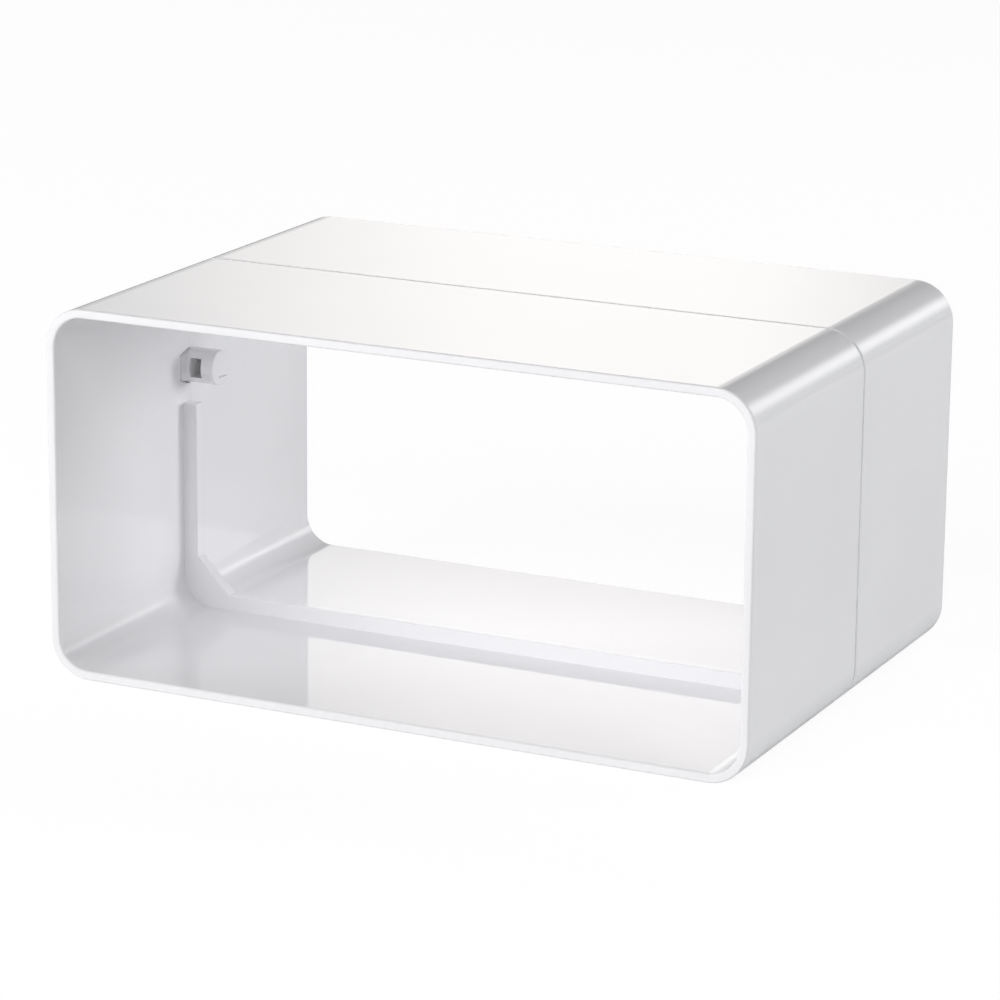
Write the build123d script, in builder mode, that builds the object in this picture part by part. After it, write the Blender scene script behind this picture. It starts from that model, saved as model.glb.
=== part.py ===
"""Flat duct connector: a rectangular sleeve that joins two lengths of flat ventilation duct.

Two moulded halves meet in a lapped seam near the middle. The front half ends in a stop
rib for the duct. The rear half carries a pair of pivot bosses above the rib, on tongues
that lie in notches of the front half.
X runs across the duct, Y along the air flow from front to rear, Z up.
"""
import os

from build123d import *

# The flat duct that slides in at each end
duct_width = 110.0
duct_height = 54.0
side_clearance = 0.5
height_clearance = 0.2

# Sleeve section
wall = 1.4
inner_radius = 4.8
rim_round = 0.35

# Lengths along the air flow
front_socket_depth = 37.6
stop_thickness = 2.2
rear_socket_depth = 38.6

# Lapped seam between the halves
lap_length = 0.9
lap_clearance = 0.06
seam_gap = 0.45
seam_round = 0.2

# Stop rib on the floor and on both side walls
stop_height = 2.4
stop_corner_chamfer = 5.6
stop_boss_gap = 2.9
stop_edge_round = 0.2

# Pivot bosses on the side walls
boss_radius = 2.8
boss_length = 5.2
boss_axis_height = 39.9
boss_setback = 0.8
boss_edge_round = 0.15
window_wall_distance = 1.1
window_width = 2.0
window_height = 3.1
window_depth = 3.6
slit_height = 0.45
slit_depth = 0.6
slit_drop = 1.45
slit_start = 0.7

# Tongues of the rear half that carry the bosses
tongue_margin = 0.2
tongue_lead = 0.6
tongue_tip_height = 3.9
tongue_clearance = 0.2

# Section sizes that follow
inner_width = duct_width + 2 * side_clearance
inner_height = duct_height + 2 * height_clearance
outer_width = inner_width + 2 * wall
outer_height = inner_height + 2 * wall
outer_radius = inner_radius + wall
section_middle = outer_height / 2
lap_wall = wall / 2
inner_wall_x = inner_width / 2
stop_top = boss_axis_height - boss_radius - stop_boss_gap

# Places along the air flow, with the middle of the sleeve at zero
sleeve_length = front_socket_depth + stop_thickness + rear_socket_depth
front_y = -sleeve_length / 2
rear_y = sleeve_length / 2
inner_seam_y = front_y + front_socket_depth + stop_thickness
outer_seam_y = inner_seam_y + lap_length
boss_axis_y = inner_seam_y + boss_setback
boss_front_y = boss_axis_y - boss_radius


def section_plane(y):
    """Cross-section plane at a place along the air flow; extruding runs to the front."""
    return Plane.XZ.offset(-y)


def sleeve_section(inset, mode=Mode.ADD):
    """Rounded rectangle that lies inside the outer skin by the inset."""
    with Locations((0, section_middle)):
        RectangleRounded(
            outer_width - 2 * inset,
            outer_height - 2 * inset,
            outer_radius - inset,
            mode=mode,
        )


def tube(y_from, y_to, outer_inset, inner_inset):
    """Length of rectangular tube between two places along the air flow."""
    with BuildSketch(section_plane(y_to)) as ring:
        sleeve_section(outer_inset)
        sleeve_section(inner_inset, Mode.SUBTRACT)
    extrude(ring.sketch, amount=y_to - y_from)


def tongue_outline():
    """Tapered outline on a side wall, from the boss axis to a tip in front of the boss."""
    root_half = boss_radius + tongue_margin
    tip_half = tongue_tip_height / 2
    tip_y = boss_front_y - tongue_lead
    Polygon(
        (boss_axis_y, boss_axis_height - root_half),
        (boss_axis_y, boss_axis_height + root_half),
        (tip_y, boss_axis_height + tip_half),
        (tip_y, boss_axis_height - tip_half),
        align=None,
    )


# Left notch of the front half, the tongue's outline grown by its clearance
with BuildPart() as tongue_notch:
    with BuildSketch(Plane.YZ.offset(-inner_wall_x)):
        tongue_outline()
        offset(amount=tongue_clearance, kind=Kind.INTERSECTION)
    extrude(amount=-lap_wall)

# Front half: socket, stop rib and the outer lip of the seam
with BuildPart() as front_sleeve:
    tube(front_y, inner_seam_y, 0, wall)
    tube(inner_seam_y, outer_seam_y, 0, lap_wall)

    # The rib follows the walls outside and is cut away to a chamfered opening inside
    rib_side_x = inner_wall_x - stop_height
    rib_floor_z = wall + stop_height
    with BuildSketch(section_plane(inner_seam_y)):
        sleeve_section(lap_wall)
        with BuildLine():
            Polyline(
                (-rib_side_x, outer_height),
                (-rib_side_x, rib_floor_z + stop_corner_chamfer),
                (-rib_side_x + stop_corner_chamfer, rib_floor_z),
                (rib_side_x - stop_corner_chamfer, rib_floor_z),
                (rib_side_x, rib_floor_z + stop_corner_chamfer),
                (rib_side_x, outer_height),
                close=True,
            )
        make_face(mode=Mode.SUBTRACT)
        with Locations((0, stop_top)):
            Rectangle(
                outer_width,
                outer_height,
                align=(Align.CENTER, Align.MIN),
                mode=Mode.SUBTRACT,
            )
    extrude(amount=stop_thickness)
    rib_tips = front_sleeve.edges().filter_by(Plane.XZ).filter_by(
        lambda edge: abs((edge @ 0.5).X) < rib_side_x + stop_height / 4
        and rib_floor_z - stop_height / 4 < (edge @ 0.5).Z < stop_top
    )
    fillet(rib_tips, stop_edge_round)

    front_rim = front_sleeve.faces().filter_by(Axis.Y).sort_by(Axis.Y)[0]
    fillet(front_rim.edges(), rim_round)
    lip_end = front_sleeve.faces().filter_by(Axis.Y).sort_by(Axis.Y)[-1]
    fillet(lip_end.outer_wire().edges(), seam_round)

    add(tongue_notch.part, mode=Mode.SUBTRACT)
    mirror(tongue_notch.part, about=Plane.YZ, mode=Mode.SUBTRACT)

# Left boss on its tongue, a round stub with a window in its front and a slit in its end
with BuildPart() as pivot_boss:
    with BuildSketch(Plane.YZ.offset(-inner_wall_x)):
        with Locations((boss_axis_y, boss_axis_height)):
            Circle(boss_radius)
    extrude(amount=boss_length)
    boss_end = pivot_boss.faces().sort_by(Axis.X)[-1]
    fillet(boss_end.edges(), boss_edge_round)

    with Locations((window_wall_distance - inner_wall_x, boss_front_y, boss_axis_height)):
        Box(
            window_width,
            window_depth,
            window_height,
            align=(Align.MIN, Align.MIN, Align.CENTER),
            mode=Mode.SUBTRACT,
        )

    slit_y = boss_axis_y - slit_start
    with Locations((boss_length - inner_wall_x, slit_y, boss_axis_height - slit_drop)):
        Box(
            slit_depth,
            slit_start + boss_radius,
            slit_height,
            align=(Align.MAX, Align.MIN, Align.CENTER),
            mode=Mode.SUBTRACT,
        )

    with BuildSketch(Plane.YZ.offset(-inner_wall_x)):
        tongue_outline()
    extrude(amount=lap_clearance - lap_wall)

# Rear half: socket, the inner spigot of the seam and the two bosses on their tongues
with BuildPart() as rear_sleeve:
    tube(outer_seam_y + seam_gap, rear_y, 0, wall)
    tube(inner_seam_y, outer_seam_y + seam_gap, lap_wall + lap_clearance, wall)

    rear_rim = rear_sleeve.faces().filter_by(Axis.Y).sort_by(Axis.Y)[-1]
    fillet(rear_rim.edges(), rim_round)
    shoulder = rear_sleeve.faces().filter_by(Axis.Y).sort_by(Axis.Y)[1]
    fillet(shoulder.outer_wire().edges(), seam_round)
    spigot_end = rear_sleeve.faces().filter_by(Axis.Y).sort_by(Axis.Y)[0]
    fillet(spigot_end.inner_wires().edges(), seam_round)

    add(pivot_boss.part)
    mirror(pivot_boss.part, about=Plane.YZ)

os.makedirs("parts", exist_ok=True)
front_sleeve.part.label = "front_sleeve"
export_step(front_sleeve.part, "parts/front_sleeve.step")
rear_sleeve.part.label = "rear_sleeve"
export_step(rear_sleeve.part, "parts/rear_sleeve.step")
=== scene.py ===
import math

import bpy
from mathutils import Matrix, Vector


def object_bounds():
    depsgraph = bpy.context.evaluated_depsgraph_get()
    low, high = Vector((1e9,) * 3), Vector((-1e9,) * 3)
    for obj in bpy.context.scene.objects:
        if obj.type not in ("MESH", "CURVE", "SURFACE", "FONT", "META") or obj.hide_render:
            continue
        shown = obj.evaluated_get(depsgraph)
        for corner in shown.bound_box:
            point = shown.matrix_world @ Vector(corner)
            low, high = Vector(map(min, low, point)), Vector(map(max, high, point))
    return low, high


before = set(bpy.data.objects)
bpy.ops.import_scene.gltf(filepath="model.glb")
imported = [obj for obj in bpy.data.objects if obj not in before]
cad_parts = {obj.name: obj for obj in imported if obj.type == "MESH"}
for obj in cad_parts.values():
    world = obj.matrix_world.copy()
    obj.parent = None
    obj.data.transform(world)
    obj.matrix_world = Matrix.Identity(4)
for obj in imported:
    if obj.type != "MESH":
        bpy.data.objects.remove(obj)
cad_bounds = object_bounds()
low, high = (Vector(corner) for corner in cad_bounds)
part_middle = (low + high) / 2

# Camera, in the part's own frame: metres, degrees, and pixels of a square picture
CAMERA_PLACE = Vector((0.265196, -0.549172, 0.192855))
CAMERA_YAW = math.radians(25.8521)
CAMERA_PITCH = math.radians(15.3747)
CAMERA_ROLL = math.radians(0.5419)
FOCAL_PIXELS = 4158.61
PICTURE_PIXELS = 1000.0
SENSOR_MM = 36.0

# Plastic: albedo and gloss, and the noise values between which they change
PLASTIC_PALE = (0.922, 0.919, 0.936, 1.0)
PLASTIC_DEEP = (0.902, 0.898, 0.918, 1.0)
PLASTIC_IOR = 1.5
ROUGHNESS_LOW = 0.04
ROUGHNESS_HIGH = 0.08
NOISE_LOW = 0.3
NOISE_HIGH = 0.7

# Moulding marks: size of each noise's features in metres and its detail, and bump heights in metres
TINT_NOISE = (0.03, 2.0)
POLISH_NOISE = (0.012, 3.0)
WAVE_NOISE = (0.022, 0.0)
WAVE_HEIGHT = 0.00002
PEEL_NOISE = (0.0012, 1.0)
PEEL_HEIGHT = 0.0000006

# Floor: side and gap under the part in metres, albedo for light and reflections, and what the
# camera sees instead, which is a faint diffuse layer that takes the shadow over a glow near white
FLOOR_SIDE = 6.0
FLOOR_GAP = 0.0001
FLOOR_ALBEDO = 0.9
FLOOR_SHADOW_ALBEDO = 0.16
FLOOR_GLOW = 0.9

# Light: radiance of the surround, where 1 is white, distance of the softboxes in metres, and tints
AMBIENT = 0.05
LAMP_DISTANCE = 1.0
WARM = (1.0, 0.965, 0.93)
PLAIN = (1.0, 1.0, 1.0)
COOL = (0.985, 1.0, 1.01)

# Directions are in degrees: azimuth 0 is behind the part and 90 to its right, elevation 0 is level.
# Soft-edged panels that show in the gloss: where the panel starts, is full, starts to fade and
# ends, in azimuth and in elevation; then radiance and tint
ALL_ROUND = (-200.0, -190.0, 190.0, 200.0)
PANELS = {
    "horizon": (ALL_ROUND, (-11.0, -1.0, 13.0, 23.0), 0.5, PLAIN),
    "top_gloss": ((-36.4, -24.9, -23.0, -15.5), (-5.0, 17.0, 18.5, 24.5), 1.7, WARM),
    "round_gloss": ((10.0, 20.0, 28.0, 37.0), (4.0, 14.0, 15.0, 25.0), 2.1, PLAIN),
}

# Softboxes: from and to in azimuth and in elevation; then radiance and tint
SOFTBOXES = {
    "left": ((-116.0, -48.0), (0.0, 21.0), 0.75, PLAIN),
    "rear_right": ((44.0, 64.0), (0.0, 15.0), 11.6, COOL),
    "front_left": ((180.0, 244.0), (0.0, 23.0), 3.0, PLAIN),
    "front_high": ((130.0, 230.0), (24.0, 52.0), 1.75, PLAIN),
    "rear_high": ((-60.0, 60.0), (37.0, 59.0), 1.05, PLAIN),
}


def grey(level):
    """Neutral colour, where 1 is white."""
    return (level, level, level, 1.0)


def make_camera():
    """Camera at the photograph's place and viewing angle."""
    data = bpy.data.cameras.new("camera")
    data.sensor_width = SENSOR_MM
    data.lens = SENSOR_MM * FOCAL_PIXELS / PICTURE_PIXELS
    camera = bpy.data.objects.new("camera", data)
    bpy.context.scene.collection.objects.link(camera)
    view = Vector((
        -math.sin(CAMERA_YAW) * math.cos(CAMERA_PITCH),
        math.cos(CAMERA_YAW) * math.cos(CAMERA_PITCH),
        -math.sin(CAMERA_PITCH),
    ))
    level = Vector((math.cos(CAMERA_YAW), math.sin(CAMERA_YAW), 0.0))
    upright = level.cross(view)
    right = level * math.cos(CAMERA_ROLL) + upright * math.sin(CAMERA_ROLL)
    up = upright * math.cos(CAMERA_ROLL) - level * math.sin(CAMERA_ROLL)
    turn = Matrix((right, up, -view)).transposed()
    camera.matrix_world = Matrix.Translation(CAMERA_PLACE) @ turn.to_4x4()
    bpy.context.scene.camera = camera


def add_noise(tree, coordinates, feature_size, detail):
    """Noise texture whose features are about the given size in metres."""
    noise = tree.nodes.new("ShaderNodeTexNoise")
    noise.inputs["Scale"].default_value = 1.0 / feature_size
    noise.inputs["Detail"].default_value = detail
    tree.links.new(coordinates.outputs["Object"], noise.inputs["Vector"])
    return noise


def add_bump(tree, noise, height, below=None):
    """Bump of the given height in metres, laid over an earlier bump if there is one."""
    bump = tree.nodes.new("ShaderNodeBump")
    bump.inputs["Distance"].default_value = height
    tree.links.new(noise.outputs["Fac"], bump.inputs["Height"])
    if below:
        tree.links.new(below.outputs["Normal"], bump.inputs["Normal"])
    return bump


def white_plastic():
    """Glossy moulded plastic with a faint tint change, uneven polish, sink waves and fine peel."""
    material = bpy.data.materials.new("white_plastic")
    material.use_nodes = True
    tree = material.node_tree
    shader = tree.nodes["Principled BSDF"]
    shader.inputs["IOR"].default_value = PLASTIC_IOR
    coordinates = tree.nodes.new("ShaderNodeTexCoord")

    tint = add_noise(tree, coordinates, *TINT_NOISE)
    ramp = tree.nodes.new("ShaderNodeValToRGB")
    deep, pale = ramp.color_ramp.elements
    deep.color = PLASTIC_DEEP
    deep.position = NOISE_LOW
    pale.color = PLASTIC_PALE
    pale.position = NOISE_HIGH
    tree.links.new(tint.outputs["Fac"], ramp.inputs["Fac"])
    tree.links.new(ramp.outputs["Color"], shader.inputs["Base Color"])

    polish = add_noise(tree, coordinates, *POLISH_NOISE)
    gloss = tree.nodes.new("ShaderNodeMapRange")
    gloss.inputs["From Min"].default_value = NOISE_LOW
    gloss.inputs["From Max"].default_value = NOISE_HIGH
    gloss.inputs["To Min"].default_value = ROUGHNESS_LOW
    gloss.inputs["To Max"].default_value = ROUGHNESS_HIGH
    tree.links.new(polish.outputs["Fac"], gloss.inputs["Value"])
    tree.links.new(gloss.outputs["Result"], shader.inputs["Roughness"])

    waves = add_bump(tree, add_noise(tree, coordinates, *WAVE_NOISE), WAVE_HEIGHT)
    peel = add_bump(tree, add_noise(tree, coordinates, *PEEL_NOISE), PEEL_HEIGHT, waves)
    tree.links.new(peel.outputs["Normal"], shader.inputs["Normal"])
    return material


def split_camera(tree, lit, seen, output):
    """Give the camera one shader, and light and reflections the other."""
    path = tree.nodes.new("ShaderNodeLightPath")
    mix = tree.nodes.new("ShaderNodeMixShader")
    tree.links.new(path.outputs["Is Camera Ray"], mix.inputs["Fac"])
    tree.links.new(lit.outputs[0], mix.inputs[1])
    tree.links.new(seen.outputs[0], mix.inputs[2])
    tree.links.new(mix.outputs["Shader"], output.inputs["Surface"])


def white_floor():
    """Diffuse white for light and reflections; the camera sees it lifted to white, with a pale shadow."""
    material = bpy.data.materials.new("white_floor")
    material.use_nodes = True
    tree = material.node_tree
    tree.nodes.remove(tree.nodes["Principled BSDF"])
    bounce = tree.nodes.new("ShaderNodeBsdfDiffuse")
    bounce.inputs["Color"].default_value = grey(FLOOR_ALBEDO)
    shadow = tree.nodes.new("ShaderNodeBsdfDiffuse")
    shadow.inputs["Color"].default_value = grey(FLOOR_SHADOW_ALBEDO)
    glow = tree.nodes.new("ShaderNodeEmission")
    glow.inputs["Strength"].default_value = FLOOR_GLOW
    seen = tree.nodes.new("ShaderNodeAddShader")
    tree.links.new(shadow.outputs["BSDF"], seen.inputs[0])
    tree.links.new(glow.outputs["Emission"], seen.inputs[1])
    split_camera(tree, bounce, seen, tree.nodes["Material Output"])
    return material


def make_floor():
    """Square floor just under the part, which is not part of the object."""
    half = FLOOR_SIDE / 2
    corners = [(-half, -half, 0), (half, -half, 0), (half, half, 0), (-half, half, 0)]
    mesh = bpy.data.meshes.new("floor")
    mesh.from_pydata(corners, [], [(0, 1, 2, 3)])
    mesh.materials.append(white_floor())
    floor = bpy.data.objects.new("floor", mesh)
    floor.location.z = low.z - FLOOR_GAP
    bpy.context.scene.collection.objects.link(floor)


def add_math(tree, operation, *values):
    """Math node whose inputs are the outputs of other nodes."""
    node = tree.nodes.new("ShaderNodeMath")
    node.operation = operation
    for socket, value in zip(node.inputs, values):
        tree.links.new(value, socket)
    return node.outputs["Value"]


def soft_step(tree, angle, start, end):
    """Smooth rise from 0 to 1 between two angles in degrees."""
    step = tree.nodes.new("ShaderNodeMapRange")
    step.interpolation_type = "SMOOTHSTEP"
    step.inputs["From Min"].default_value = math.radians(start)
    step.inputs["From Max"].default_value = math.radians(end)
    tree.links.new(angle, step.inputs["Value"])
    return step.outputs["Result"]


def soft_window(tree, angle, start, full, fade, end):
    """Smooth rise from 0 to 1 between the first two angles and fall between the last two."""
    rise = soft_step(tree, angle, start, full)
    fall = soft_step(tree, angle, fade, end)
    return add_math(tree, "SUBTRACT", rise, fall)


def make_world():
    """Dim surround with the soft-edged panels; the camera itself sees plain white."""
    world = bpy.data.worlds.new("studio")
    bpy.context.scene.world = world
    world.use_nodes = True
    tree = world.node_tree
    coordinates = tree.nodes.new("ShaderNodeTexCoord")
    direction = tree.nodes.new("ShaderNodeSeparateXYZ")
    tree.links.new(coordinates.outputs["Generated"], direction.inputs["Vector"])
    azimuth = add_math(tree, "ARCTAN2", direction.outputs["X"], direction.outputs["Y"])
    elevation = add_math(tree, "ARCSINE", direction.outputs["Z"])

    surround = tree.nodes.new("ShaderNodeRGB")
    surround.outputs["Color"].default_value = grey(AMBIENT)
    light = surround.outputs["Color"]
    for sides, heights, radiance, tint in PANELS.values():
        columns = soft_window(tree, azimuth, *sides)
        rows = soft_window(tree, elevation, *heights)
        total = tree.nodes.new("ShaderNodeVectorMath")
        total.operation = "MULTIPLY_ADD"
        tree.links.new(add_math(tree, "MULTIPLY", columns, rows), total.inputs[0])
        total.inputs[1].default_value = Vector(tint) * radiance
        tree.links.new(light, total.inputs[2])
        light = total.outputs["Vector"]

    lit = tree.nodes["Background"]
    tree.links.new(light, lit.inputs["Color"])
    white = tree.nodes.new("ShaderNodeBackground")
    white.inputs["Color"].default_value = grey(1.0)
    split_camera(tree, lit, white, tree.nodes["World Output"])


def make_softbox(name, azimuths, elevations, radiance, tint):
    """Flat lamp turned to the part that fills a range of directions round it, for diffuse light only."""
    azimuth = math.radians(sum(azimuths) / 2)
    elevation = math.radians(sum(elevations) / 2)
    outward = Vector((
        math.sin(azimuth) * math.cos(elevation),
        math.cos(azimuth) * math.cos(elevation),
        math.sin(elevation),
    ))
    half_width = math.radians(azimuths[1] - azimuths[0]) / 2
    half_height = math.radians(elevations[1] - elevations[0]) / 2
    data = bpy.data.lights.new(name, "AREA")
    data.shape = "RECTANGLE"
    data.size = 2 * LAMP_DISTANCE * math.tan(half_width) * math.cos(elevation)
    data.size_y = 2 * LAMP_DISTANCE * math.tan(half_height)
    data.energy = radiance * math.pi * data.size * data.size_y
    data.color = tint
    lamp = bpy.data.objects.new(name, data)
    lamp.location = part_middle + outward * LAMP_DISTANCE
    lamp.rotation_euler = outward.to_track_quat("Z", "Y").to_euler()
    lamp.visible_camera = False
    lamp.visible_glossy = False
    bpy.context.scene.collection.objects.link(lamp)


plastic = white_plastic()
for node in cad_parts.values():
    node.data.materials.clear()
    node.data.materials.append(plastic)

make_camera()
make_floor()
make_world()
for name, softbox in SOFTBOXES.items():
    make_softbox(name, *softbox)

bpy.context.scene.view_settings.view_transform = "Standard"
